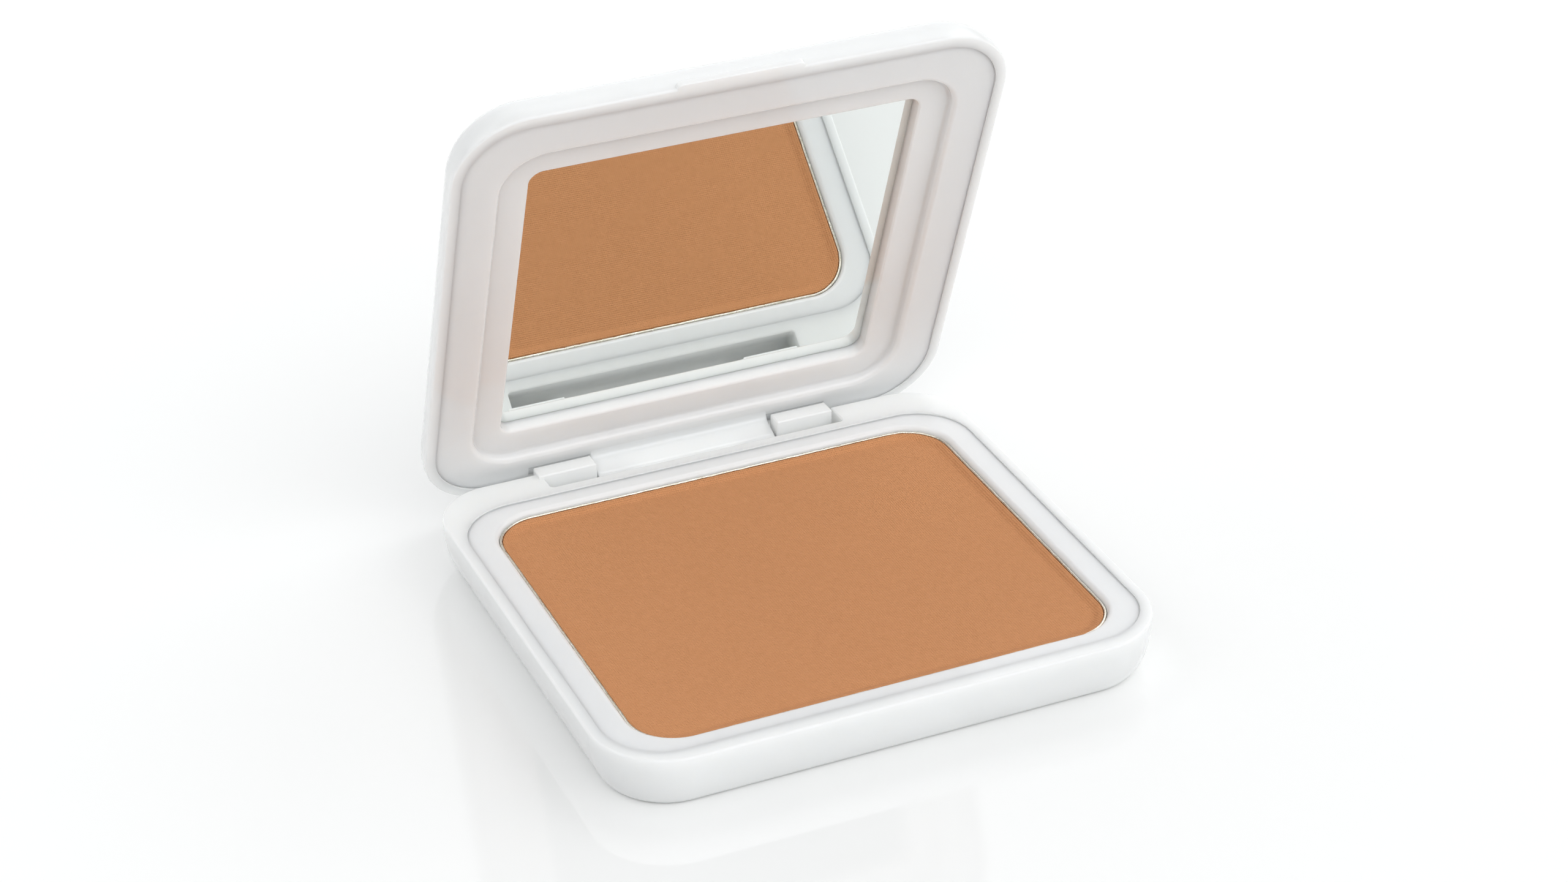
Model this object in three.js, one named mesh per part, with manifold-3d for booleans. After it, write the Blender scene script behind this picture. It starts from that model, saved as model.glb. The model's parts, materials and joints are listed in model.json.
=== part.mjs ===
// Powder compact: a shallow white case with a hinged mirror lid, a bezel ring round a tin pan of
// pressed powder, and a framed mirror. Millimetres, +Z up, the lid hinged along the rear (+Y) edge.
// The origin is on the case's underside, in the middle of its width and 34.5 mm behind its front edge.
// The lid stands open, as it is left on a table.
import * as THREE from "three";
import { mergeVertices } from "three/addons/utils/BufferGeometryUtils.js";
import Module from "manifold-3d";

const wasm = await Module();
wasm.setup();

// ---- Driving dimensions (mm) ----
const CASE_WIDTH = 75;
const CASE_FRONT = -34.5;
const CASE_REAR = 35;
const CASE_CORNER = 10;
const CASE_REAR_CORNER = 8;
const LID_REAR = 36.2; // the lid reaches a little further back than the base, over the hinge
const BASE_HEIGHT = 7.7;
const LID_HEIGHT = 6.1;
const RIM_BAND = 0.4; // upright band at each half's rim, before the wall starts to curve in
const BASE_TUCK = 2.6; // how far the base's wall curves in towards its underside
const LID_TUCK = 4.3; // how far the lid's wall curves in towards its top
const CLOSING_GAP = 0.15; // between the two rims when the compact is shut
const SEAT_GAP = 0.1; // round a piece that drops into a pocket
const OPEN_ANGLE = THREE.MathUtils.degToRad(69);

const WALL = 1.4; // side wall, seen as the rim's face
const FLOOR = 2;
const WELL_CORNER = 8;
const WELL_FRONT = -32.4; // front and rear ends of the well that takes the bezel
const WELL_REAR = 29.4;
const BEZEL_STEP = 0.2; // the bezel's face lies this far below the rim
const BEZEL_WALL = 1;
const BEZEL_PLATE = 1.4;

const OPENING_WIDTH = 64.5; // the bezel's inner edge, which the pan shows through
const OPENING_FRONT = -29.6;
const OPENING_REAR = 26.4;
const OPENING_CORNER = 6.4;
const OPENING_ROUND = 0.7;

const PAN_CLEARANCE = 0.35;
const PAN_METAL = 0.35;
const PAN_HEIGHT = 4.2;
const PAN_LIP_DEPTH = 0.55; // from the bezel's face down to the pan's lip
const PAD_GAP = 0.05; // above and below a glue pad
const POWDER_EDGE_DEPTH = 0.15; // from the pan's lip down to the powder's edge
const POWDER_DISH = 0.43; // from that edge down to the pressed face
const POWDER_SLOPE = 1.3; // width of the sloping border
const POWDER_CRUST = 0.15;

const HINGE_Y = 34.5;
const HINGE_Z = 5;
const PIN_RADIUS = 0.5;
const PIN_SIDES = 24;
const PIN_FIT = 0.02; // radial, pressed in the lugs
const PIN_RUNNING = 0.08; // radial, turning in the tongue
const NOTCH_WIDTH = 42.6; // the cut in the base's rear wall that the hinge sits in
const NOTCH_FRONT = 30.9;
const NOTCH_FLOOR = 2.4;
const LUG_WIDTH = 8.2;
const LUG_SPACING = 34.65; // between the two lugs' middles
const LUG_SHIFT = -0.65; // the pair sits a little to the left of the notch's middle
const LUG_FRONT = HINGE_Y - 1.2;
const LUG_BACK = HINGE_Y + 1.4;
const LUG_TOP = BASE_HEIGHT + 0.5;
const LUG_SWEEP = 3.6; // radius about the pin that the lid's slots keep clear
const LUG_GAP = 0.3; // between a lug's end and the lid
const LUG_SPLAY = 1.6; // how far a lug's foot reaches forward of its front face
const ROOTED = 0.3; // how far a feature runs into the wall it stands on
const LUG_EASE = 0.3; // chamfer along a lug's rear top edge
const KNUCKLE_RADIUS = 1.5;
const TONGUE_NECK = 1.35; // thickness where the tongue leaves the frame
const TONGUE_FILLET = 1.2;
const PIN_REACH = 4.5; // each side of the joint between a lug and the tongue

const MIRROR_STEP = 0.2; // the mirror frame's face lies this far inside the lid's rim
const FRAME_FRONT = -32.85; // front and rear ends of the lid's pocket
const FRAME_REAR = 34.8;
const WINDOW_WIDTH = 53;
const WINDOW_FRONT = -23.1;
const WINDOW_REAR = 25.9;
const WINDOW_CORNER = 1.9;
const LEDGE_WIDTH = 4.2; // flat border between the window and the dish's side
const DISH_DEPTH = 1.3;
const DISH_ROUND = 0.6;
const DISH_WALL = 1; // solid plastic left behind the dish's side
const WINDOW_ROUND = 0.3;
const WINDOW_WALL = 1.9; // from the ledge back to the glass
const MIRROR_THICKNESS = 1.3;
const MIRROR_LAP = 1.4; // how far the glass runs behind the window's edge
const TAPE_THICKNESS = 0.3;
const TAPE_INSET = 1; // from the window's edge in to the tape's
const GLUE_INSET = 3; // from the pan's side in to the glue pad's

const TAB_WIDTH = 17; // the lip on the lid's front edge, for the thumb
const TAB_HEIGHT = 0.9;
const TAB_REACH = 0.7;
const TAB_ROOT = 1; // how far it runs into the lid's wall
const TAB_SHIFT = -0.5; // to the left of the middle
const TAB_EASE = 0.15;

// ---- Levels worked out from the driving dimensions, lid closed ----
const BEZEL_TOP = BASE_HEIGHT - BEZEL_STEP;
const PAN_LIP = BEZEL_TOP - PAN_LIP_DEPTH;
const PAN_BOTTOM = PAN_LIP - PAN_HEIGHT;
const LID_RIM = BASE_HEIGHT + CLOSING_GAP;
const LID_TOP = LID_RIM + LID_HEIGHT;
const FRAME_FACE = LID_RIM + MIRROR_STEP;
const LEDGE_FACE = FRAME_FACE + DISH_DEPTH;
const GLASS_FACE = LEDGE_FACE + WINDOW_WALL;
const GLASS_BACK = GLASS_FACE + MIRROR_THICKNESS;
const ROOF = GLASS_BACK + TAPE_THICKNESS + 2 * PAD_GAP;
const PAST = 5; // how far a cutter runs past the surface it opens
const EDGE_EASE = 0.3; // rounding along the rims' outer edges
const WALL_STEPS = 8; // facets down a curved wall
const CORNER_STEPS = 10; // facets round a corner seen from above
const EDGE_STEPS = 2; // facets round a rim's edge
const HOLE_STEPS = 3; // facets round a hole's edge
const SLOPE_STEPS = 4; // facets down the powder's border
const SWEEP_SIDES = 48;
const WELD_DISTANCE = 1e-4;

// ---- Materials ----
function plastic(name, colour, roughness) {
  return new THREE.MeshStandardMaterial({ name, color: colour, roughness, metalness: 0 });
}

function metal(name, colour, roughness) {
  return new THREE.MeshStandardMaterial({ name, color: colour, roughness, metalness: 1 });
}

// ---- Solids ----
function solidOf(geometry) {
  const bare = geometry.clone();
  bare.deleteAttribute("normal");
  bare.deleteAttribute("uv");
  const merged = mergeVertices(bare, WELD_DISTANCE);
  return new wasm.Manifold(
    new wasm.Mesh({
      numProp: 3,
      vertProperties: new Float32Array(merged.attributes.position.array),
      triVerts: new Uint32Array(merged.index.array),
    }),
  );
}

function meshOf(name, solid, material) {
  const { vertProperties, triVerts } = solid.getMesh();
  const geometry = new THREE.BufferGeometry();
  geometry.setAttribute("position", new THREE.BufferAttribute(vertProperties, 3));
  geometry.setIndex(new THREE.BufferAttribute(triVerts, 1));
  const flat = geometry.toNonIndexed();
  flat.computeVertexNormals();
  const mesh = new THREE.Mesh(flat, material);
  mesh.name = name;
  return mesh;
}

// A rectangle with round corners, centred on X, between two Y positions.
function roundedRectangle({ width, front, rear, corner, rearCorner = corner }) {
  const right = width / 2;
  const quarter = Math.PI / 2;
  const shape = new THREE.Shape();
  shape.absarc(right - corner, front + corner, corner, -quarter, 0);
  shape.absarc(right - rearCorner, rear - rearCorner, rearCorner, 0, quarter);
  shape.absarc(rearCorner - right, rear - rearCorner, rearCorner, quarter, 2 * quarter);
  shape.absarc(corner - right, front + corner, corner, 2 * quarter, 3 * quarter);
  shape.closePath();
  return shape;
}

// The same rectangle made larger all round by a margin (smaller when it is negative).
function grown({ width, front, rear, corner, rearCorner = corner }, margin) {
  return {
    width: width + 2 * margin,
    front: front - margin,
    rear: rear + margin,
    corner: corner + margin,
    rearCorner: rearCorner + margin,
  };
}

function upright(outline, bottom, top) {
  const shape = roundedRectangle(outline);
  const geometry = new THREE.ExtrudeGeometry(shape, {
    depth: top - bottom,
    bevelEnabled: false,
    curveSegments: CORNER_STEPS,
  });
  return solidOf(geometry.translate(0, 0, bottom));
}

// An upright block whose top and bottom edges both curve in over `rise` by `tuck`.
function softBlock(outline, bottom, top, rise, tuck, steps) {
  const geometry = new THREE.ExtrudeGeometry(roundedRectangle(outline), {
    depth: top - bottom - 2 * rise,
    bevelThickness: rise,
    bevelSize: tuck,
    bevelOffset: -tuck,
    bevelSegments: steps,
    curveSegments: CORNER_STEPS,
  });
  return solidOf(geometry.translate(0, 0, bottom + rise));
}

// A plate with a hole in it; the hole's top and bottom edges are rounded over.
function softHole(outline, hole, bottom, top, round) {
  const plate = roundedRectangle(grown(outline, 2 * round));
  plate.holes.push(roundedRectangle(hole));
  const geometry = new THREE.ExtrudeGeometry(plate, {
    depth: top - bottom - 2 * round,
    bevelThickness: round,
    bevelSize: round,
    bevelOffset: -round,
    bevelSegments: HOLE_STEPS,
    curveSegments: CORNER_STEPS,
  });
  const ring = solidOf(geometry.translate(0, 0, bottom + round));
  return ring.intersect(upright(outline, bottom - PAST, top + PAST));
}

// An outline in Y and Z, run along X from left to right.
function alongX(shape, left, right) {
  const geometry = new THREE.ExtrudeGeometry(shape, {
    depth: right - left,
    bevelEnabled: false,
    curveSegments: CORNER_STEPS,
  });
  const turn = new THREE.Matrix4().makeBasis(
    new THREE.Vector3(0, 1, 0),
    new THREE.Vector3(0, 0, 1),
    new THREE.Vector3(1, 0, 0),
  );
  return solidOf(geometry.applyMatrix4(turn).translate(left, 0, 0));
}

function rodOnHinge(radius, left, right, sides) {
  const geometry = new THREE.CylinderGeometry(radius, radius, right - left, sides);
  geometry.rotateZ(Math.PI / 2).translate((left + right) / 2, HINGE_Y, HINGE_Z);
  return solidOf(geometry);
}

// ---- Outlines shared by several pieces ----
const CASE = {
  width: CASE_WIDTH,
  front: CASE_FRONT,
  rear: CASE_REAR,
  corner: CASE_CORNER,
  rearCorner: CASE_REAR_CORNER,
};
const LID = {
  width: CASE_WIDTH,
  front: CASE_FRONT,
  rear: LID_REAR,
  corner: CASE_CORNER,
};
const WELL = {
  width: CASE_WIDTH - 2 * WALL,
  front: WELL_FRONT,
  rear: WELL_REAR,
  corner: WELL_CORNER,
};
const OPENING = {
  width: OPENING_WIDTH,
  front: OPENING_FRONT,
  rear: OPENING_REAR,
  corner: OPENING_CORNER,
};
const LID_POCKET = {
  width: CASE_WIDTH - 2 * WALL,
  front: FRAME_FRONT,
  rear: FRAME_REAR,
  corner: CASE_CORNER - WALL,
};
const WINDOW = {
  width: WINDOW_WIDTH,
  front: WINDOW_FRONT,
  rear: WINDOW_REAR,
  corner: WINDOW_CORNER,
};
const PAN = grown(OPENING, -PAN_CLEARANCE);
const PAN_INSIDE = grown(PAN, -PAN_METAL);
const DISH = grown(WINDOW, LEDGE_WIDTH);

// Left and right ends of the two lugs and of the tongue between them.
const LUGS = [-1, 1].map((side) => {
  const middle = LUG_SHIFT + (side * LUG_SPACING) / 2;
  return { left: middle - LUG_WIDTH / 2, right: middle + LUG_WIDTH / 2 };
});
const TONGUE = {
  left: LUGS[0].right + LUG_GAP,
  right: LUGS[1].left - LUG_GAP,
};

// ---- Base ----
// The cut behind the well: its front wall curves down about the pin to a flat floor.
function hingeNotch() {
  const radius = HINGE_Y - NOTCH_FRONT;
  const dip = Math.asin((HINGE_Z - NOTCH_FLOOR) / radius);
  const shape = new THREE.Shape();
  shape.moveTo(CASE_REAR + PAST, BASE_HEIGHT + PAST);
  shape.lineTo(NOTCH_FRONT, BASE_HEIGHT + PAST);
  shape.absarc(HINGE_Y, HINGE_Z, radius, Math.PI, Math.PI + dip);
  shape.lineTo(CASE_REAR + PAST, NOTCH_FLOOR);
  shape.closePath();
  return alongX(shape, -NOTCH_WIDTH / 2, NOTCH_WIDTH / 2);
}

// A lug stands on the notch's floor, upright in front, round the pin behind.
function lug({ left, right }) {
  const foot = NOTCH_FLOOR - ROOTED;
  const round = LUG_BACK - HINGE_Y;
  const shape = new THREE.Shape();
  shape.moveTo(LUG_FRONT - LUG_SPLAY, foot);
  shape.lineTo(HINGE_Y - LUG_SPLAY / 2, foot);
  shape.lineTo(HINGE_Y, HINGE_Z - round);
  shape.absarc(HINGE_Y, HINGE_Z, round, -Math.PI / 2, 0);
  shape.lineTo(LUG_BACK, LUG_TOP - LUG_EASE);
  shape.lineTo(LUG_BACK - LUG_EASE, LUG_TOP);
  shape.lineTo(LUG_FRONT, LUG_TOP);
  shape.lineTo(LUG_FRONT, HINGE_Z - PIN_RADIUS);
  shape.closePath();
  return alongX(shape, left, right);
}

function baseShell() {
  const rise = BASE_HEIGHT - RIM_BAND;
  const tall = softBlock(CASE, 0, 2 * BASE_HEIGHT, rise, BASE_TUCK, WALL_STEPS);
  const eased = softBlock(CASE, -PAST, BASE_HEIGHT, EDGE_EASE, EDGE_EASE, EDGE_STEPS);
  let solid = tall.intersect(eased);
  solid = solid.subtract(upright(WELL, FLOOR, BASE_HEIGHT + PAST));
  solid = solid.subtract(hingeNotch());
  for (const span of LUGS) {
    solid = solid.add(lug(span));
  }
  const bore = PIN_RADIUS + PIN_FIT;
  const depth = PIN_REACH + SEAT_GAP;
  solid = solid.subtract(rodOnHinge(bore, LUGS[0].right - depth, LUGS[0].right + PAST, PIN_SIDES));
  solid = solid.subtract(rodOnHinge(bore, LUGS[1].left - PAST, LUGS[1].left + depth, PIN_SIDES));
  return meshOf("base_shell", solid, plastic("base_white", 0xeceef0, 0.22));
}

// A ring on the base's floor, open below, whose face frames the pan.
function panBezel() {
  const outside = grown(WELL, -SEAT_GAP);
  let solid = softHole(outside, OPENING, FLOOR + PAD_GAP, BEZEL_TOP, OPENING_ROUND);
  const hollow = upright(grown(outside, -BEZEL_WALL), 0, BEZEL_TOP - BEZEL_PLATE);
  const inner = upright(grown(OPENING, BEZEL_WALL), -PAST, BEZEL_TOP);
  solid = solid.subtract(hollow.subtract(inner));
  return meshOf("pan_bezel", solid, plastic("bezel_white", 0xe6eaee, 0.25));
}

function glue(name, outline, bottom, top) {
  return meshOf(name, upright(outline, bottom, top), plastic("glue_pad", 0xd8d4c8, 0.8));
}

// ---- Pan and powder ----
function powderPan() {
  const inside = upright(PAN_INSIDE, PAN_BOTTOM + PAN_METAL, PAN_LIP + PAST);
  const solid = upright(PAN, PAN_BOTTOM, PAN_LIP).subtract(inside);
  return meshOf("powder_pan", solid, metal("pan_tin", 0xd8d2c2, 0.3));
}

// Pressed flat, with a border that slopes up to a thin edge along the pan's wall.
function pressedPowder() {
  const filling = grown(PAN_INSIDE, -PAD_GAP);
  const edge = PAN_LIP - POWDER_EDGE_DEPTH;
  const block = upright(filling, PAN_BOTTOM + PAN_METAL + PAD_GAP, edge);
  const press = softBlock(
    grown(filling, -POWDER_CRUST),
    edge - POWDER_DISH,
    edge + PAST,
    POWDER_DISH,
    POWDER_SLOPE,
    SLOPE_STEPS,
  );
  return meshOf("pressed_powder", block.subtract(press), plastic("powder_tan", 0xc88f64, 0.9));
}

// ---- Hinge pins, pressed into the lugs ----
function hingePin(name, left, right) {
  const rod = rodOnHinge(PIN_RADIUS, left, right, PIN_SIDES);
  return meshOf(name, rod, metal("pin_steel", 0xb9bcc0, 0.3));
}

// ---- Lid, modelled shut ----
// What the lugs sweep as the lid turns about them.
function lugSlots() {
  const first = rodOnHinge(LUG_SWEEP, LUGS[0].left - LUG_GAP, TONGUE.left, SWEEP_SIDES);
  const second = rodOnHinge(LUG_SWEEP, TONGUE.right, LUGS[1].right + LUG_GAP, SWEEP_SIDES);
  return first.add(second);
}

// The tongue runs back from the mirror frame, turns down in a fillet and wraps the pins.
function tongue() {
  const front = HINGE_Y - KNUCKLE_RADIUS;
  const root = front - TONGUE_FILLET;
  const neck = FRAME_FACE + TONGUE_NECK;
  const shape = new THREE.Shape();
  shape.moveTo(root, neck);
  shape.lineTo(root, FRAME_FACE);
  shape.absarc(root, FRAME_FACE - TONGUE_FILLET, TONGUE_FILLET, Math.PI / 2, 0, true);
  shape.lineTo(front, HINGE_Z);
  shape.absarc(HINGE_Y, HINGE_Z, KNUCKLE_RADIUS, Math.PI, 2 * Math.PI);
  shape.lineTo(HINGE_Y, neck);
  shape.closePath();
  return alongX(shape, TONGUE.left, TONGUE.right);
}

// The cut in the lid's rear wall that the tongue comes out through.
function tongueSlot() {
  const top = FRAME_FACE + TONGUE_NECK + SEAT_GAP;
  const width = TONGUE.right - TONGUE.left;
  const block = new THREE.BoxGeometry(width, 2 * PAST, top);
  block.translate((TONGUE.left + TONGUE.right) / 2, FRAME_REAR + PAST - SEAT_GAP, top / 2);
  return solidOf(block);
}

// A low lip on the front of the lid's rim, with round ends.
function thumbTab() {
  const front = CASE_FRONT - TAB_REACH;
  const rear = CASE_FRONT + TAB_ROOT;
  const shape = roundedRectangle({ width: TAB_WIDTH, front, rear, corner: TAB_REACH });
  const geometry = new THREE.ExtrudeGeometry(shape, {
    depth: TAB_HEIGHT - 2 * TAB_EASE,
    bevelThickness: TAB_EASE,
    bevelSize: TAB_EASE,
    bevelOffset: -TAB_EASE,
    bevelSegments: EDGE_STEPS,
    curveSegments: CORNER_STEPS,
  });
  return solidOf(geometry.translate(TAB_SHIFT, 0, LID_RIM + TAB_EASE));
}

function lidShell() {
  const rise = LID_HEIGHT - RIM_BAND;
  const tall = softBlock(LID, LID_TOP - 2 * LID_HEIGHT, LID_TOP, rise, LID_TUCK, WALL_STEPS);
  const eased = softBlock(LID, LID_RIM, LID_TOP + PAST, EDGE_EASE, EDGE_EASE, EDGE_STEPS);
  let solid = tall.intersect(eased).add(thumbTab());
  solid = solid.subtract(upright(LID_POCKET, 0, GLASS_FACE));
  solid = solid.subtract(upright(grown(WINDOW, MIRROR_LAP + SEAT_GAP), 0, ROOF));
  solid = solid.subtract(tongueSlot()).subtract(lugSlots());
  return meshOf("lid_shell", solid, plastic("lid_white", 0xe9eaeb, 0.22));
}

// A dished plate: an outer flange, a step in to a flat ledge, and the window's wall back to the
// glass. It carries the tongue that turns on the pins.
function mirrorFrame() {
  const outside = grown(LID_POCKET, -SEAT_GAP);
  const back = GLASS_FACE - PAD_GAP;
  const flange = softHole(outside, DISH, FRAME_FACE, back, DISH_ROUND);
  const ledge = softHole(grown(DISH, DISH_WALL), WINDOW, LEDGE_FACE, back, WINDOW_ROUND);
  const hollow = upright(grown(outside, -BEZEL_WALL), FRAME_FACE + BEZEL_PLATE, LID_TOP);
  const kept = upright(grown(DISH, DISH_WALL), 0, LID_TOP + PAST);
  let solid = flange.add(ledge).subtract(hollow.subtract(kept));
  solid = solid.subtract(lugSlots()).add(tongue());
  const bore = PIN_RADIUS + PIN_RUNNING;
  const depth = PIN_REACH + SEAT_GAP;
  solid = solid.subtract(rodOnHinge(bore, TONGUE.left - PAST, TONGUE.left + depth, PIN_SIDES));
  solid = solid.subtract(rodOnHinge(bore, TONGUE.right - depth, TONGUE.right + PAST, PIN_SIDES));
  return meshOf("mirror_frame", solid, plastic("frame_white", 0xdfe0e1, 0.2));
}

function mirrorGlass() {
  const solid = upright(grown(WINDOW, MIRROR_LAP), GLASS_FACE, GLASS_BACK);
  return meshOf("mirror_glass", solid, metal("mirror_silver", 0xe4eae8, 0.03));
}

// ---- Assembly ----
const compact = new THREE.Group();
compact.name = "powder_compact";
compact.add(baseShell(), panBezel());
compact.add(glue("pan_glue", grown(PAN, -GLUE_INSET), FLOOR + PAD_GAP, PAN_BOTTOM - PAD_GAP));
compact.add(powderPan(), pressedPowder());
compact.add(hingePin("hinge_pin_left", LUGS[0].right - PIN_REACH, TONGUE.left + PIN_REACH));
compact.add(hingePin("hinge_pin_right", TONGUE.right - PIN_REACH, LUGS[1].left + PIN_REACH));

const shutLid = new THREE.Group();
shutLid.position.set(0, -HINGE_Y, -HINGE_Z);
shutLid.add(lidShell(), mirrorFrame(), mirrorGlass());
shutLid.add(glue("mirror_tape", grown(WINDOW, -TAPE_INSET), GLASS_BACK + PAD_GAP, ROOF - PAD_GAP));

const lid = new THREE.Group();
lid.position.set(0, HINGE_Y, HINGE_Z);
lid.rotation.x = -OPEN_ANGLE;
lid.add(shutLid);
compact.add(lid);

export default compact;
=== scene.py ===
"""A powder compact standing open on a pale glossy floor.

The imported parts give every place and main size. Each visible part gets a fine mesh with small edge
rounds in its place, built from rounded rectangles joined level by level, and a procedural material.
The lid's pieces are modelled shut and then turned open about the hinge.
"""

import json
import math
from dataclasses import dataclass

import bmesh
import bpy
from mathutils import Matrix, Vector, noise


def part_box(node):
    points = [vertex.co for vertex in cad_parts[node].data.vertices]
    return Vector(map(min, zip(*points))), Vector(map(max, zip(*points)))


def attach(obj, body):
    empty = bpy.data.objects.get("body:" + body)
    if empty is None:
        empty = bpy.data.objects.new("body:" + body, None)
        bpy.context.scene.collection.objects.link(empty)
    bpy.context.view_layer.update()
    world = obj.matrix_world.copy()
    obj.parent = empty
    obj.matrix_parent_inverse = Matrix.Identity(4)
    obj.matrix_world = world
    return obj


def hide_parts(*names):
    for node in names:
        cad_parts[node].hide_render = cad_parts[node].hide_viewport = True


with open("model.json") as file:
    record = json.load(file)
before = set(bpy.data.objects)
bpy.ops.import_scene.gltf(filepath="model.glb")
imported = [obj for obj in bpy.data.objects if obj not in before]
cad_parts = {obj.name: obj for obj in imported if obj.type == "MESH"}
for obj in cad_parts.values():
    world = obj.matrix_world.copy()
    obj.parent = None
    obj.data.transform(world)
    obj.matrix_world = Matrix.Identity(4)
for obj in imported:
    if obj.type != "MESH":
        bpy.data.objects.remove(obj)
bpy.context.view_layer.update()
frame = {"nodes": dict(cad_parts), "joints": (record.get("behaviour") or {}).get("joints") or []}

MM = 0.001
SMALLEST_CORNER = 0.05 * MM

# ---- The hinge, and how the lid turns on it ----
lid_hinge = frame["joints"][0]
HINGE = Vector(lid_hinge["pos_m"])
OPEN_ANGLE = math.radians(-lid_hinge["range_deg"][0])
TURN = Matrix.Rotation(-OPEN_ANGLE, 4, "X")
OPENED = Matrix.Translation(HINGE) @ TURN @ Matrix.Translation(-HINGE)


def shut_box(node):
    """Lowest and highest corners of one of the lid's parts with the lid turned shut."""
    closing = OPENED.inverted()
    corners = [closing @ vertex.co for vertex in frame["nodes"][node].data.vertices]
    low = Vector(min(corner[axis] for corner in corners) for axis in range(3))
    high = Vector(max(corner[axis] for corner in corners) for axis in range(3))
    return low, high


@dataclass(frozen=True)
class Outline:
    """A rectangle with round corners, seen from above and centred on X."""

    width: float
    front: float
    rear: float
    corner: float
    rear_corner: float = None  # the rear corners' radius, where it differs

    def grown(self, margin):
        """The outline made larger all round by a margin, or smaller when it is negative."""
        return Outline(
            width=self.width + 2 * margin,
            front=self.front - margin,
            rear=self.rear + margin,
            corner=max(self.corner + margin, SMALLEST_CORNER),
            rear_corner=self.rear_corner and self.rear_corner + margin,
        )

    def points(self, steps, across, along):
        """Anticlockwise points: `steps` facets a corner, the sides cut into `across` or `along` lengths."""
        half = self.width / 2
        near = self.corner
        far = self.rear_corner or self.corner
        corners = [
            (half - near, self.front + near, near),
            (half - far, self.rear - far, far),
            (far - half, self.rear - far, far),
            (near - half, self.front + near, near),
        ]
        found = []
        for index, (x, y, radius) in enumerate(corners):
            for step in range(steps + 1):
                angle = math.pi / 2 * (index - 1 + step / steps)
                found.append((x + radius * math.cos(angle), y + radius * math.sin(angle)))
            start = found[-1]
            turned = math.pi / 2 * index
            next_x, next_y, next_radius = corners[(index + 1) % 4]
            end = (next_x + next_radius * math.cos(turned), next_y + next_radius * math.sin(turned))
            cuts = along if index % 2 == 0 else across
            for cut in range(1, cuts):
                share = cut / cuts
                cut_x = start[0] + (end[0] - start[0]) * share
                cut_y = start[1] + (end[1] - start[1]) * share
                found.append((cut_x, cut_y))
        return found


# ---- Sizes read from the frame ----
base_low, base_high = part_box("base_shell")
bezel_low, bezel_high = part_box("pan_bezel")
pan_low, pan_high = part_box("powder_pan")
powder_low, powder_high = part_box("pressed_powder")
lid_low, lid_high = shut_box("lid_shell")
surround_low, surround_high = shut_box("mirror_frame")
glass_low, glass_high = shut_box("mirror_glass")

SEAT_GAP = 0.1 * MM  # round a piece that drops into a pocket
SEAM = 0.006 * MM  # what shows of the gap round a ring pressed into its pocket
WALL = 1.4 * MM  # of the base and the lid at their rims
CASE_CORNER = 10 * MM
CASE_REAR = 35 * MM
CASE_REAR_CORNER = 8 * MM
WELL_CORNER = 8 * MM
OPENING_CORNER = 6.4 * MM
PAN_CLEARANCE = 0.35 * MM
PAN_GAP = 0.07 * MM  # what shows of that clearance
PAN_METAL = 0.35 * MM
POWDER_GAP = 0.05 * MM
MIRROR_LAP = 1.4 * MM
WINDOW_CORNER = 1.9 * MM
LEDGE_WIDTH = 4.2 * MM
PLATE = 1.4 * MM  # thickness of the bezel's and the mirror surround's face
RING_WALL = 1.0 * MM  # thickness of their walls
RIM_EASE = 0.3 * MM  # round along the outer edge of both rims
RIM_LIP = 0.05 * MM  # round along the inner edge

CASE = Outline(base_high.x - base_low.x, base_low.y, CASE_REAR, CASE_CORNER, CASE_REAR_CORNER)
LID = Outline(lid_high.x - lid_low.x, base_low.y, lid_high.y, CASE_CORNER)
BEZEL = Outline(bezel_high.x - bezel_low.x, bezel_low.y, bezel_high.y, WELL_CORNER - SEAT_GAP)
WELL = BEZEL.grown(SEAM)
PAN_NODE = Outline(pan_high.x - pan_low.x, pan_low.y, pan_high.y, OPENING_CORNER - PAN_CLEARANCE)
OPENING = PAN_NODE.grown(PAN_CLEARANCE)
PAN = OPENING.grown(-PAN_GAP)
POWDER = PAN.grown(-PAN_METAL - POWDER_GAP)
SURROUND = Outline(
    width=surround_high.x - surround_low.x,
    front=surround_low.y,
    rear=LID.rear - WALL - SEAT_GAP,
    corner=CASE_CORNER - WALL - SEAT_GAP,
)
LID_POCKET = SURROUND.grown(SEAM)
GLASS = Outline(glass_high.x - glass_low.x, glass_low.y, glass_high.y, WINDOW_CORNER + MIRROR_LAP)
WINDOW = GLASS.grown(-MIRROR_LAP)
DISH = WINDOW.grown(LEDGE_WIDTH)

RING_STEP = 0.2 * MM  # from a rim in to the face of the ring pressed into it
CLOSING_GAP = 0.15 * MM
DISH_DEPTH = 1.3 * MM
TAPE_SPACE = 0.4 * MM  # behind the glass
BEZEL_TOP = bezel_high.z
BASE_RIM = BEZEL_TOP + RING_STEP
FLOOR = 2 * MM
PAN_LIP = pan_high.z
LID_RIM = BASE_RIM + CLOSING_GAP
LID_TOP = lid_high.z
FRAME_FACE = LID_RIM + RING_STEP
LEDGE_FACE = FRAME_FACE + DISH_DEPTH
GLASS_FACE = glass_low.z
GLASS_POCKET_ROOF = glass_high.z + TAPE_SPACE
RIM_BAND = 0.4 * MM  # upright band at each rim, before the wall curves in

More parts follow.
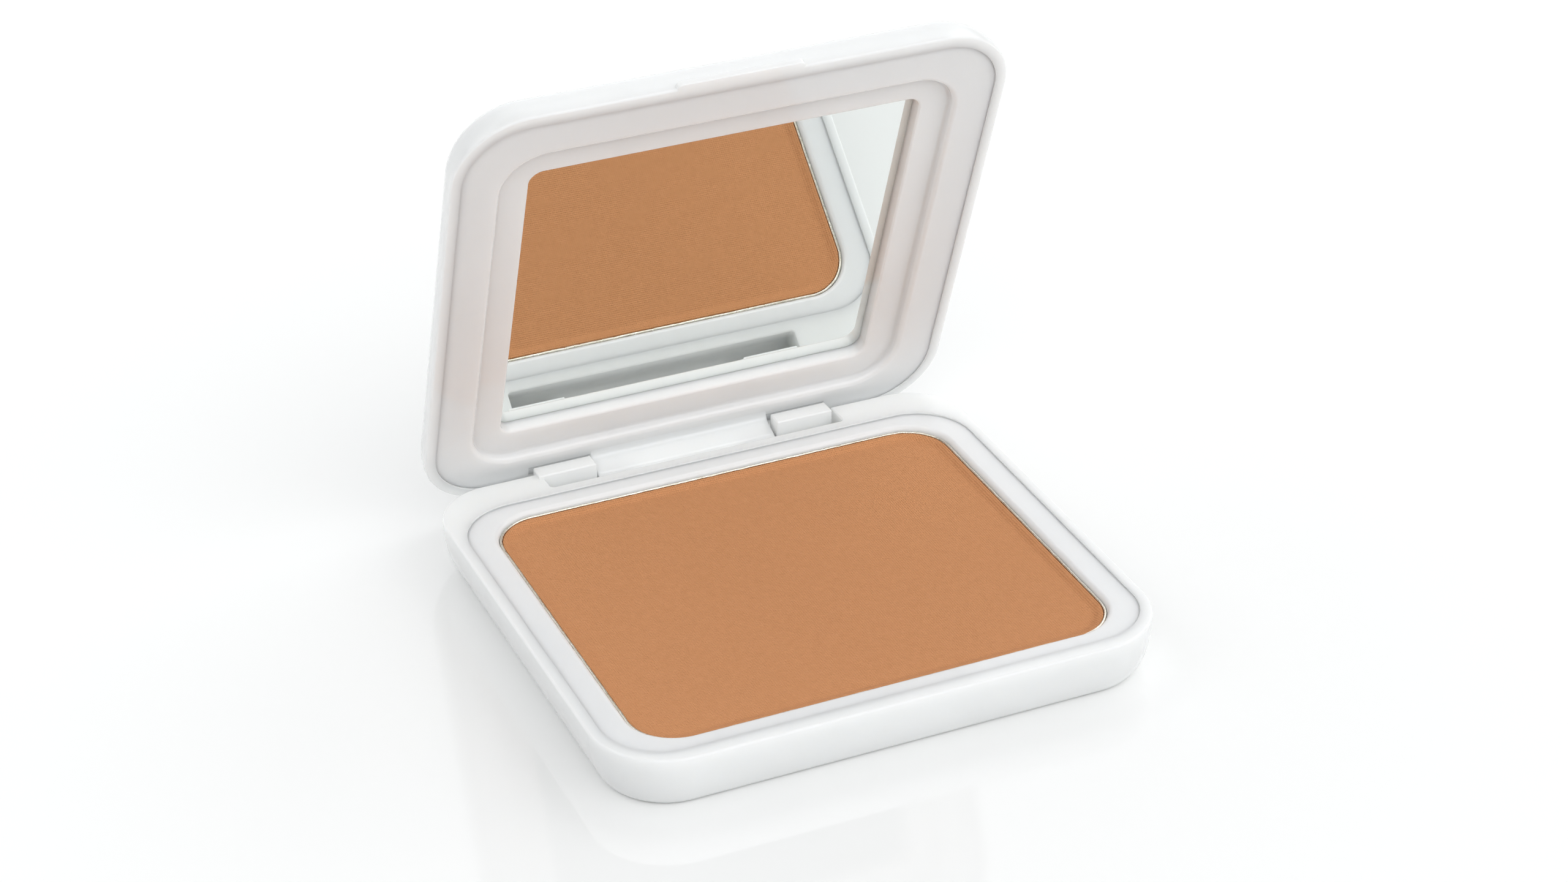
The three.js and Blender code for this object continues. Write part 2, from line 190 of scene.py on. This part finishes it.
# ---- Hinge sizes ----
PIN_RADIUS = 0.5 * MM
PIN_FIT = 0.02 * MM  # radial, pressed in the lugs
PIN_RUNNING = 0.08 * MM  # radial, turning in the tongue
BORE_DEPTH = 4.6 * MM  # in a lug and in the tongue
KNUCKLE_RADIUS = 1.5 * MM
NOTCH_HALF_WIDTH = 21.3 * MM
NOTCH_RADIUS = 3.6 * MM
NOTCH_FLOOR = 2.4 * MM
LUG_WIDTH = 8.2 * MM
LUG_SPACING = 34.65 * MM
LUG_SHIFT = -0.65 * MM
LUG_GAP = 0.3 * MM
LUG_REACH_FRONT = 1.2 * MM
LUG_REACH_BACK = base_high.y - HINGE.y
LUG_EASE = 0.25 * MM  # round along a lug's edges
LUG_TOP = base_high.z
LUG_MIDDLES = [LUG_SHIFT + side * LUG_SPACING / 2 for side in (-1, 1)]
LUG_ENDS = [(middle - LUG_WIDTH / 2, middle + LUG_WIDTH / 2) for middle in LUG_MIDDLES]
TONGUE_LEFT = LUG_ENDS[0][1] + LUG_GAP
TONGUE_RIGHT = LUG_ENDS[1][0] - LUG_GAP
TONGUE_NECK = 1.35 * MM  # thickness where it leaves the mirror surround

PAST = 5 * MM  # how far a cutter runs past the surface it opens
CORNER_STEPS = 24


# ---- Mesh building ----
def arc(margin, height, reach, rise, start, end, steps):
    """(margin, height) pairs round part of an ellipse; 0 degrees points outward and 90 up."""
    pairs = []
    for step in range(steps + 1):
        angle = math.radians(start + (end - start) * step / steps)
        pairs.append((margin + reach * math.cos(angle), height + rise * math.sin(angle)))
    return pairs


def levels(outline, pairs):
    """The outline at each (margin, height) pair, ready to be joined into a wall."""
    return [(outline.grown(margin), height) for margin, height in pairs]


def piece_from(mesh_builder, name):
    mesh = bpy.data.meshes.new(name)
    bmesh.ops.recalc_face_normals(mesh_builder, faces=mesh_builder.faces)
    mesh_builder.to_mesh(mesh)
    mesh_builder.free()
    piece = bpy.data.objects.new(name, mesh)
    bpy.context.scene.collection.objects.link(piece)
    return piece


def joined_levels(name, sections, closed=False, steps=CORNER_STEPS, across=1, along=1, shift=None):
    """A solid made by joining outlines at their heights; closed joins the last to the first."""
    builder = bmesh.new()
    rings = []
    for outline, height in sections:
        ring = []
        for x, y in outline.points(steps, across, along):
            point = Vector((x, y, height))
            if shift:
                point += shift(point, len(rings))
            ring.append(builder.verts.new(point))
        rings.append(ring)
    pairs = list(zip(rings, rings[1:]))
    if closed:
        pairs.append((rings[-1], rings[0]))
    for lower, upper in pairs:
        for index in range(len(lower)):
            after = (index + 1) % len(lower)
            builder.faces.new((lower[index], lower[after], upper[after], upper[index]))
    if not closed:
        builder.faces.new(rings[0])
        builder.faces.new(rings[-1])
    return piece_from(builder, name)


def prism(name, outline, left, right):
    """A solid with the same (y, z) outline all the way from left to right."""
    builder = bmesh.new()
    ends = [[builder.verts.new((x, y, z)) for y, z in outline] for x in (left, right)]
    for index in range(len(outline)):
        after = (index + 1) % len(outline)
        builder.faces.new((ends[0][index], ends[0][after], ends[1][after], ends[1][index]))
    builder.faces.new(ends[0])
    builder.faces.new(ends[1])
    return piece_from(builder, name)


def circle(radius, start, end, steps, centre=(HINGE.y, HINGE.z)):
    """(y, z) points round an arc; 0 degrees points to the rear and 90 up."""
    return arc(centre[0], centre[1], radius, radius, start, end, steps)


def rod(name, radius, left, right):
    return prism(name, circle(radius, 0, 360, 64)[:-1], left, right)


def freeze(piece):
    """Puts what the piece's modifiers make into its own mesh."""
    graph = bpy.context.evaluated_depsgraph_get()
    made = bpy.data.meshes.new_from_object(piece.evaluated_get(graph))
    piece.modifiers.clear()
    piece.data = made
    made.name = piece.name


def combine(piece, tool, operation):
    modifier = piece.modifiers.new("combine", "BOOLEAN")
    modifier.object = tool
    modifier.operation = operation
    modifier.solver = "EXACT"
    freeze(piece)
    bpy.data.objects.remove(tool)


def ease_edges(piece, width, segments=3, angle=35):
    modifier = piece.modifiers.new("ease", "BEVEL")
    modifier.width = width
    modifier.segments = segments
    modifier.limit_method = "ANGLE"
    modifier.angle_limit = math.radians(angle)
    freeze(piece)


def finish_piece(piece, body, nodes, material, turned=False, crease=32):
    """Smooth shading with true edges, the material, and the piece's place in the assembly."""
    piece.data.shade_smooth()
    piece.data.set_sharp_from_angle(angle=math.radians(crease))
    weighted = piece.modifiers.new("even shading", "WEIGHTED_NORMAL")
    weighted.keep_sharp = True
    piece.data.materials.clear()
    piece.data.materials.append(material)
    if turned:
        piece.data.transform(OPENED)
    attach(piece, body)
    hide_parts(*nodes)
    return piece


# ---- Material building ----
class Nodes:
    """Short calls for the few shader nodes that the materials share."""

    def __init__(self, name):
        self.material = bpy.data.materials.new(name)
        self.material.use_nodes = True
        self.tree = self.material.node_tree
        self.tree.nodes.clear()
        self.shader = self.tree.nodes.new("ShaderNodeBsdfPrincipled")
        output = self.tree.nodes.new("ShaderNodeOutputMaterial")
        self.link(self.shader.outputs[0], output.inputs[0])
        self.place = self.tree.nodes.new("ShaderNodeTexCoord").outputs["Object"]

    def link(self, start, end):
        self.tree.links.new(start, end)

    def noise(self, size, detail=2.0, roughness=0.5, stretch=(1, 1, 1)):
        """Soft noise whose patches are about `size` metres across."""
        mapping = self.tree.nodes.new("ShaderNodeMapping")
        mapping.inputs["Scale"].default_value = stretch
        self.link(self.place, mapping.inputs["Vector"])
        node = self.tree.nodes.new("ShaderNodeTexNoise")
        node.inputs["Scale"].default_value = 1 / size
        node.inputs["Detail"].default_value = detail
        node.inputs["Roughness"].default_value = roughness
        self.link(mapping.outputs[0], node.inputs["Vector"])
        return node.outputs["Fac"]

    def span(self, value, low, high, start=0.3, end=0.7):
        """Maps a 0 to 1 value between start and end onto low to high."""
        node = self.tree.nodes.new("ShaderNodeMapRange")
        node.inputs["From Min"].default_value = start
        node.inputs["From Max"].default_value = end
        node.inputs["To Min"].default_value = low
        node.inputs["To Max"].default_value = high
        self.link(value, node.inputs["Value"])
        return node.outputs["Result"]

    def mix(self, value, first, second):
        node = self.tree.nodes.new("ShaderNodeMix")
        node.data_type = "RGBA"
        node.inputs["A"].default_value = (*first, 1)
        node.inputs["B"].default_value = (*second, 1)
        self.link(value, node.inputs["Factor"])
        return node.outputs["Result"]

    def math(self, operation, first, second):
        node = self.tree.nodes.new("ShaderNodeMath")
        node.operation = operation
        for socket, value in zip(node.inputs, (first, second)):
            if isinstance(value, (int, float)):
                socket.default_value = value
            else:
                self.link(value, socket)
        return node.outputs[0]

    def bump(self, height, depth, below=None):
        """Relief of `depth` metres between heights 0 and 1, laid over an earlier relief."""
        node = self.tree.nodes.new("ShaderNodeBump")
        node.inputs["Strength"].default_value = 1
        node.inputs["Distance"].default_value = depth
        self.link(height, node.inputs["Height"])
        if below:
            self.link(below, node.inputs["Normal"])
        return node.outputs[0]

    def set(self, socket, value):
        if isinstance(value, bpy.types.NodeSocket):
            self.link(value, self.shader.inputs[socket])
        else:
            self.shader.inputs[socket].default_value = value


def white_plastic(name, tone, roughness):
    """Moulded gloss plastic: milky, faintly uneven in tone, with a slow ripple and fine handling marks."""
    nodes = Nodes(name)
    shade = tuple(channel * 0.975 for channel in tone)
    nodes.set("Base Color", nodes.mix(nodes.span(nodes.noise(9 * MM), 0, 1), shade, tone))
    nodes.set("Roughness", nodes.span(nodes.noise(1.3 * MM, 4, 0.6), roughness * 0.7, roughness * 1.5))
    nodes.set("IOR", 1.49)
    nodes.set("Subsurface Weight", 0.9)
    nodes.set("Subsurface Radius", (1, 0.98, 0.94))
    nodes.set("Subsurface Scale", 2.4 * MM)
    ripple = nodes.bump(nodes.noise(14 * MM, 1), 0.06 * MM)
    nodes.set("Normal", nodes.bump(nodes.noise(0.35 * MM, 2), 0.0006 * MM, ripple))
    return nodes.material


CLOTH_PITCH = 0.3016 * MM
WAVE_LENGTH_AT_SCALE_1 = math.tau / 20  # of Blender's wave texture


def pressed_powder():
    """Matt tan powder with the imprint of the pressing cloth, fine grain and faint mottling."""
    nodes = Nodes("pressed_face_powder")
    light = (0.660, 0.302, 0.136)
    dark = (0.625, 0.282, 0.122)
    nodes.set("Base Color", nodes.mix(nodes.span(nodes.noise(1.1 * MM, 6, 0.7), 0, 1), dark, light))
    nodes.set("Roughness", nodes.span(nodes.noise(0.3 * MM, 3), 0.85, 1.0))
    nodes.set("Specular IOR Level", 0.25)
    threads = []
    for bands in ("X", "Y"):
        wave = nodes.tree.nodes.new("ShaderNodeTexWave")
        wave.inputs["Scale"].default_value = WAVE_LENGTH_AT_SCALE_1 / CLOTH_PITCH
        wave.inputs["Distortion"].default_value = 1.2
        wave.inputs["Detail Scale"].default_value = 2.5
        wave.bands_direction = bands
        nodes.link(nodes.place, wave.inputs["Vector"])
        threads.append(wave.outputs["Fac"])
    cloth = nodes.math("MULTIPLY", *threads)
    relief = nodes.bump(cloth, 0.09 * MM)
    nodes.set("Normal", nodes.bump(nodes.noise(0.12 * MM, 3, 0.7), 0.025 * MM, relief))
    return nodes.material


def tinplate():
    """Bright rolled tin, slightly yellow, with drawing marks and small dents."""
    nodes = Nodes("bright_tinplate")
    tone = nodes.span(nodes.noise(0.8 * MM, 4, 0.65), 0, 1)
    nodes.set("Base Color", nodes.mix(tone, (0.70, 0.64, 0.52), (0.90, 0.87, 0.80)))
    nodes.set("Metallic", 1.0)
    nodes.set("Roughness", nodes.span(nodes.noise(0.5 * MM, 3), 0.2, 0.42))
    nodes.set("Normal", nodes.bump(nodes.noise(0.5 * MM, 3, 0.6), 0.05 * MM))
    return nodes.material


def mirror_silver():
    """Silvered glass seen from the front: near-perfect reflection with faint wipe marks."""
    nodes = Nodes("silvered_mirror")
    nodes.set("Base Color", (0.90, 0.93, 0.915, 1))
    nodes.set("Metallic", 1.0)
    nodes.set("Roughness", nodes.span(nodes.noise(6 * MM, 4, 0.6, (1, 3, 1)), 0.0, 0.035))
    return nodes.material


def drawn_wire():
    nodes = Nodes("drawn_steel_wire")
    tone = nodes.span(nodes.noise(0.4 * MM, 3), 0, 1)
    nodes.set("Base Color", nodes.mix(tone, (0.50, 0.51, 0.52), (0.66, 0.67, 0.68)))
    nodes.set("Metallic", 1.0)
    nodes.set("Roughness", nodes.span(nodes.noise(0.2 * MM, 2, 0.5, (0.05, 1, 1)), 0.22, 0.4))
    return nodes.material


def foam_tape():
    nodes = Nodes("foam_tape")
    tone = nodes.span(nodes.noise(0.5 * MM, 3), 0, 1)
    nodes.set("Base Color", nodes.mix(tone, (0.62, 0.60, 0.52), (0.72, 0.70, 0.63)))
    nodes.set("Roughness", 0.85)
    nodes.set("Normal", nodes.bump(nodes.noise(0.2 * MM, 3), 0.05 * MM))
    return nodes.material


# One white for all four parts. Its tone is painted lighter and bluer on the bezel as painted light, and
# darker on the lid and the mirror surround as painted shade.
BASE_WHITE = white_plastic("base_gloss_white", (0.89, 0.90, 0.895), 0.11)
BEZEL_WHITE_PAINTED_LIGHT = white_plastic("bezel_white_painted_light", (0.92, 0.93, 0.935), 0.12)
LID_WHITE_PAINTED_SHADE = white_plastic("lid_white_painted_shade", (0.88, 0.89, 0.885), 0.10)
SURROUND_WHITE_PAINTED_SHADE = white_plastic("surround_white_painted_shade", (0.87, 0.88, 0.88), 0.08)


# ---- Base ----
def notch_front(height):
    """Y of the hinge notch's front wall, which curves in under the pin."""
    drop = HINGE.z - height
    if drop <= 0:
        return HINGE.y - NOTCH_RADIUS
    return HINGE.y - math.sqrt(NOTCH_RADIUS**2 - drop**2)


def hinge_notch():
    """Cutter for the notch; it flares at the rim, so the cut's upper edges come out round."""
    flare = 0.25 * MM
    corner = 0.5 * MM
    rear = CASE.rear + PAST
    heights = [NOTCH_FLOOR + (HINGE.z - NOTCH_FLOOR) * step / 8 for step in range(9)]
    sections = [(Outline(2 * NOTCH_HALF_WIDTH, notch_front(z), rear, corner), z) for z in heights]
    mouth = Outline(2 * NOTCH_HALF_WIDTH, notch_front(BASE_RIM), rear, corner)
    sections += levels(mouth, arc(flare, BASE_RIM - flare, flare, flare, 180, 90, 6))
    sections += levels(mouth, [(flare, BASE_RIM + PAST)])
    return joined_levels("notch_cutter", sections, steps=6)


def lug(left, right):
    """A hinge lug: upright front, flat top, round behind the pin, standing on a splayed foot."""
    rooted = 0.3 * MM
    splay = 1.6 * MM
    foot = NOTCH_FLOOR - rooted
    front = HINGE.y - LUG_REACH_FRONT
    outline = [(front - splay, foot), (HINGE.y - splay / 2, foot)]
    outline += circle(LUG_REACH_BACK, -90, 0, 10)
    outline += [(HINGE.y + LUG_REACH_BACK, LUG_TOP), (front, LUG_TOP), (front, HINGE.z - PIN_RADIUS)]
    solid = prism("lug", outline, left, right)
    ease_edges(solid, LUG_EASE, 4)
    return solid


def case_base():
    tuck = 2.6 * MM
    wall = BASE_RIM - RIM_BAND
    foot = 0.4 * MM
    sections = levels(CASE, arc(-tuck, wall, tuck, wall, -90, 0, 14))
    sections += levels(CASE, arc(-RIM_EASE, BASE_RIM - RIM_EASE, RIM_EASE, RIM_EASE, 0, 90, 6))
    sections += levels(WELL, arc(RIM_LIP, BASE_RIM - RIM_LIP, RIM_LIP, RIM_LIP, 90, 180, 3))
    sections += levels(WELL, arc(-foot, FLOOR + foot, foot, foot, 0, -90, 4))
    base = joined_levels("case_base", sections)
    combine(base, hinge_notch(), "DIFFERENCE")
    for left, right in LUG_ENDS:
        combine(base, lug(left, right), "UNION")
    bore = PIN_RADIUS + PIN_FIT
    inner_left = LUG_ENDS[0][1]
    inner_right = LUG_ENDS[1][0]
    combine(base, rod("bore", bore, inner_left - BORE_DEPTH, inner_left + MM), "DIFFERENCE")
    combine(base, rod("bore", bore, inner_right - MM, inner_right + BORE_DEPTH), "DIFFERENCE")
    return finish_piece(base, "case", ["base_shell"], BASE_WHITE)


def bezel_ring():
    edge = 0.05 * MM
    round_in = 0.7 * MM
    foot = bezel_low.z
    sections = levels(BEZEL, [(0, foot)])
    sections += levels(BEZEL, arc(-edge, BEZEL_TOP - edge, edge, edge, 0, 90, 4))
    sections += levels(OPENING, arc(round_in, BEZEL_TOP - round_in, round_in, round_in, 90, 180, 10))
    sections += levels(OPENING, [(0, foot), (RING_WALL, foot), (RING_WALL, BEZEL_TOP - PLATE)])
    sections += levels(BEZEL, [(-RING_WALL, BEZEL_TOP - PLATE), (-RING_WALL, foot)])
    ring = joined_levels("bezel_ring", sections, closed=True)
    return finish_piece(ring, "case", ["pan_bezel"], BEZEL_WHITE_PAINTED_LIGHT)


# ---- Pan and powder ----
def crinkle(point, wavelength, seed):
    """A steady random value from -1 to 1 that varies over about `wavelength` metres."""
    return noise.noise(point / wavelength + Vector((seed, seed * 1.7, 0)))


def tin_pan():
    lip = PAN_METAL / 2
    foot_round = 0.6 * MM
    bottom = pan_low.z
    sections = levels(PAN, arc(-foot_round, bottom + foot_round, foot_round, foot_round, -90, 0, 5))
    sections += levels(PAN, arc(-lip, PAN_LIP - lip, lip, lip, 0, 180, 8))
    inner = foot_round - PAN_METAL
    sections += levels(PAN, arc(-foot_round, bottom + foot_round, inner, inner, 0, -90, 4))

    def dent(point, ring):
        """Small dents that fade out a little way below the lip."""
        dented_depth = 1.2 * MM
        strength = max(0.0, 1 - (PAN_LIP - point.z) / dented_depth)
        lift = 0.07 * MM * crinkle(point, 1.1 * MM, 3) + 0.04 * MM * crinkle(point, 0.4 * MM, 8)
        sway = 0.05 * MM * crinkle(point, 1.6 * MM, 5)
        outward = Vector((point.x, point.y - (PAN.front + PAN.rear) / 2, 0)).normalized()
        return (outward * sway + Vector((0, 0, min(lift, 0)))) * strength

    pan = joined_levels("tin_pan", sections, steps=24, across=180, along=150, shift=dent)
    return finish_piece(pan, "case", ["powder_pan"], tinplate())


def powder_cake():
    """Pressed flat, with a crumbled border that slopes up to a thin edge along the pan's wall."""
    crust = 0.15 * MM
    chamfer = 0.05 * MM
    dish = 0.43 * MM
    slope = 1.3 * MM
    slope_steps = 12
    flat_border = 0.3 * MM
    edge = powder_high.z
    sections = levels(POWDER, [(0, powder_low.z), (0, edge - 0.06 * MM), (-chamfer, edge), (-crust, edge)])
    last_upright = 1
    crust_end = len(sections) - 1
    for step in range(1, slope_steps + 1):
        share = step / slope_steps
        fall = dish * (1 - math.cos(math.pi * share)) / 2
        sections += levels(POWDER, [(-crust - slope * share, edge - fall)])
    sections += levels(POWDER, [(-crust - slope - flat_border, edge - dish)])
    last_crumbled = len(sections) - 4

    def crumble(point, ring):
        """Roughens the crust downwards only, and the slope both ways."""
        if not last_upright < ring <= last_crumbled:
            return Vector()
        amount = 0.035 * MM * crinkle(point, 0.7 * MM, 2) + 0.02 * MM * crinkle(point, 0.25 * MM, 9)
        return Vector((0, 0, min(amount, 0) if ring <= crust_end else amount))

    cake = joined_levels("powder_cake", sections, steps=24, across=180, along=150, shift=crumble)
    return finish_piece(cake, "case", ["pressed_powder"], pressed_powder(), crease=80)


# ---- Lid, modelled shut ----
def lug_sweep(left, right):
    return rod("sweep_cutter", NOTCH_RADIUS, left, right)


def cut_lug_slots(piece):
    combine(piece, lug_sweep(LUG_ENDS[0][0] - LUG_GAP, TONGUE_LEFT), "DIFFERENCE")
    combine(piece, lug_sweep(TONGUE_RIGHT, LUG_ENDS[1][1] + LUG_GAP), "DIFFERENCE")


def thumb_tab():
    width = 17 * MM
    height = 0.9 * MM
    shift = -0.5 * MM
    ease = 0.15 * MM
    rooted = 1 * MM
    front = lid_low.y
    rear = LID.front + rooted
    tab = Outline(width, front, rear, LID.front - front)
    sections = levels(tab, arc(-ease, LID_RIM + ease, ease, ease, -90, 0, 4))
    sections += levels(tab, arc(-ease, LID_RIM + height - ease, ease, ease, 0, 90, 4))
    solid = joined_levels("thumb_tab", sections, steps=10)
    solid.data.transform(Matrix.Translation((shift, 0, 0)))
    return solid


def lid_cover():
    tuck = 4.3 * MM
    wall = LID_RIM + RIM_BAND
    pocket = GLASS.grown(SEAT_GAP)
    sections = levels(pocket, [(0, GLASS_POCKET_ROOF), (0, GLASS_FACE)])
    sections += levels(LID_POCKET, [(0, GLASS_FACE)])
    sections += levels(LID_POCKET, arc(RIM_LIP, LID_RIM + RIM_LIP, RIM_LIP, RIM_LIP, 180, 270, 3))
    sections += levels(LID, arc(-RIM_EASE, LID_RIM + RIM_EASE, RIM_EASE, RIM_EASE, -90, 0, 6))
    sections += levels(LID, arc(-tuck, wall, tuck, LID_TOP - wall, 0, 90, 18))
    cover = joined_levels("lid_cover", sections)
    combine(cover, thumb_tab(), "UNION")
    slot_front = LID_POCKET.rear - SEAT_GAP
    slot_rear = LID_POCKET.rear + PAST
    slot_low = LID_RIM - MM
    slot_top = FRAME_FACE + TONGUE_NECK + SEAT_GAP
    slot = [(slot_front, slot_low), (slot_rear, slot_low), (slot_rear, slot_top), (slot_front, slot_top)]
    combine(cover, prism("tongue_cutter", slot, TONGUE_LEFT, TONGUE_RIGHT), "DIFFERENCE")
    cut_lug_slots(cover)
    return finish_piece(cover, "lid", ["lid_shell"], LID_WHITE_PAINTED_SHADE, turned=True)


def tongue():
    """Runs back from the mirror surround, turns down in a fillet and wraps the pins."""
    fillet = 1.2 * MM
    front = HINGE.y - KNUCKLE_RADIUS
    root = front - fillet
    neck = FRAME_FACE + TONGUE_NECK
    outline = [(root, neck)]
    outline += circle(fillet, 90, 0, 8, (root, FRAME_FACE - fillet))
    outline += circle(KNUCKLE_RADIUS, 180, 360, 24)
    outline += [(HINGE.y, neck)]
    solid = prism("tongue", outline, TONGUE_LEFT, TONGUE_RIGHT)
    ease_edges(solid, 0.2 * MM, 3)
    return solid


def mirror_surround():
    edge = 0.06 * MM
    dish_round = 0.7 * MM
    dish_foot = 0.55 * MM
    window_round = 0.3 * MM
    back = GLASS_FACE - 0.05 * MM
    kept = DISH.grown(RING_WALL)
    sections = levels(SURROUND, [(0, back)])
    sections += levels(SURROUND, arc(-edge, FRAME_FACE + edge, edge, edge, 0, -90, 4))
    sections += levels(DISH, arc(dish_round, FRAME_FACE + dish_round, dish_round, dish_round, 270, 180, 8))
    sections += levels(DISH, arc(-dish_foot, LEDGE_FACE - dish_foot, dish_foot, dish_foot, 0, 90, 5))
    sections += levels(
        WINDOW, arc(window_round, LEDGE_FACE + window_round, window_round, window_round, 270, 180, 6)
    )
    sections += levels(WINDOW, [(0, back)])
    sections += levels(kept, [(0, back), (0, FRAME_FACE + PLATE)])
    sections += levels(SURROUND, [(-RING_WALL, FRAME_FACE + PLATE), (-RING_WALL, back)])
    surround = joined_levels("mirror_surround", sections, closed=True)
    cut_lug_slots(surround)
    combine(surround, tongue(), "UNION")
    bore = PIN_RADIUS + PIN_RUNNING
    combine(surround, rod("bore", bore, TONGUE_LEFT - MM, TONGUE_LEFT + BORE_DEPTH), "DIFFERENCE")
    combine(surround, rod("bore", bore, TONGUE_RIGHT - BORE_DEPTH, TONGUE_RIGHT + MM), "DIFFERENCE")
    return finish_piece(surround, "lid", ["mirror_frame"], SURROUND_WHITE_PAINTED_SHADE, turned=True)


def mirror_plate():
    arris = 0.12 * MM
    sections = levels(GLASS, [(-arris, GLASS_FACE), (0, GLASS_FACE + arris)])
    sections += levels(GLASS, [(0, glass_high.z - arris), (-arris, glass_high.z)])
    plate = joined_levels("mirror_plate", sections)
    return finish_piece(plate, "lid", ["mirror_glass"], mirror_silver(), turned=True)


def dress_nodes(names, material):
    """Gives a CAD part that stays in view its finish."""
    for name in names:
        frame["nodes"][name].data.materials.clear()
        frame["nodes"][name].data.materials.append(material)


case_base()
bezel_ring()
tin_pan()
powder_cake()
lid_cover()
mirror_surround()
mirror_plate()
dress_nodes(["hinge_pin_left", "hinge_pin_right"], drawn_wire())
dress_nodes(["pan_glue", "mirror_tape"], foam_tape())


# ---- Studio ----
def studio_floor():
    half = 6.0  # metres
    builder = bmesh.new()
    corners = [(-half, -half), (half, -half), (half, half), (-half, half)]
    builder.faces.new([builder.verts.new((x, y, 0)) for x, y in corners])
    plane = piece_from(builder, "studio_floor")
    nodes = Nodes("white_acrylic_floor")
    nodes.set("Base Color", (0.93, 0.93, 0.925, 1))
    nodes.set("Roughness", 0.05)
    nodes.set("IOR", 1.55)
    plane.data.materials.append(nodes.material)


def smooth_span(tree, value, low, high):
    """Rises smoothly from 0 to 1 as the value goes from low to high."""
    node = tree.nodes.new("ShaderNodeMapRange")
    node.interpolation_type = "SMOOTHSTEP"
    node.inputs["From Min"].default_value = low
    node.inputs["From Max"].default_value = high
    tree.links.new(value, node.inputs["Value"])
    return node.outputs["Result"]


def blend(tree, share, first, second):
    """The first value where share is 0 and the second where it is 1."""
    node = tree.nodes.new("ShaderNodeMix")
    for socket, value in (("Factor", share), ("A", first), ("B", second)):
        if isinstance(value, bpy.types.NodeSocket):
            tree.links.new(value, node.inputs[socket])
        else:
            node.inputs[socket].default_value = value
    return node.outputs["Result"]


def studio_world():
    """Four tall diffusers round the table under a dim ceiling, and a low backdrop behind it."""
    world = bpy.data.worlds.new("studio")
    world.use_nodes = True
    tree = world.node_tree
    background = tree.nodes["Background"]
    direction = tree.nodes.new("ShaderNodeTexCoord").outputs["Generated"]
    split = tree.nodes.new("ShaderNodeSeparateXYZ")
    tree.links.new(direction, split.inputs[0])
    above_table = smooth_span(tree, split.outputs["Z"], 0.27, 0.41)  # about 16 to 24 degrees up
    above_diffusers = smooth_span(tree, split.outputs["Z"], 0.77, 0.86)  # about 50 to 59 degrees up

    level = tree.nodes.new("ShaderNodeVectorMath")
    level.operation = "MULTIPLY"
    level.inputs[1].default_value = (1, 1, 0)
    tree.links.new(direction, level.inputs[0])
    compass = tree.nodes.new("ShaderNodeVectorMath")
    compass.operation = "NORMALIZE"
    tree.links.new(level.outputs[0], compass.inputs[0])

    brightness = blend(tree, above_table, 0.0, 2.55)  # the front's, and then each other side's over it
    right = ((1, 0, 0), 0.7, 1.92)
    rear = ((0, 1, 0), 1.27, 1.22)
    left = ((-1, 0, 0), 0.12, 1.38)
    for side, low_strength, high_strength in (right, rear, left):
        facing = tree.nodes.new("ShaderNodeVectorMath")
        facing.operation = "DOT_PRODUCT"
        facing.inputs[1].default_value = side
        tree.links.new(compass.outputs[0], facing.inputs[0])
        share = smooth_span(tree, facing.outputs["Value"], 0.62, 0.79)
        side_brightness = blend(tree, above_table, low_strength, high_strength)
        brightness = blend(tree, share, brightness, side_brightness)
    ceiling = 0.17
    tree.links.new(blend(tree, above_diffusers, brightness, ceiling), background.inputs["Strength"])
    background.inputs["Color"].default_value = (0.985, 0.995, 1.0, 1)
    bpy.context.scene.world = world


def studio_camera():
    """The photograph's view: from the front left, 30 degrees above the table, with a long lens."""
    azimuth = math.radians(-23.5)
    elevation = math.radians(29.96)
    roll = math.radians(-0.73)
    distance = 444.4 * MM
    target = Vector((0.18 * MM, 2.64 * MM, 24.33 * MM))
    back = Vector((
        math.sin(azimuth) * math.cos(elevation),
        -math.cos(azimuth) * math.cos(elevation),
        math.sin(elevation),
    ))
    data = bpy.data.cameras.new("camera")
    data.lens = 80.81
    data.sensor_width = 36
    data.clip_start = 0.01
    data.clip_end = 50
    camera = bpy.data.objects.new("camera", data)
    bpy.context.scene.collection.objects.link(camera)
    level = (-back).to_track_quat("-Z", "Y").to_matrix().to_4x4()
    place = Matrix.Translation(target + back * distance)
    camera.matrix_world = place @ level @ Matrix.Rotation(roll, 4, "Z")
    bpy.context.scene.camera = camera


studio_floor()
studio_world()
studio_camera()
bpy.context.scene.view_settings.view_transform = "Standard"
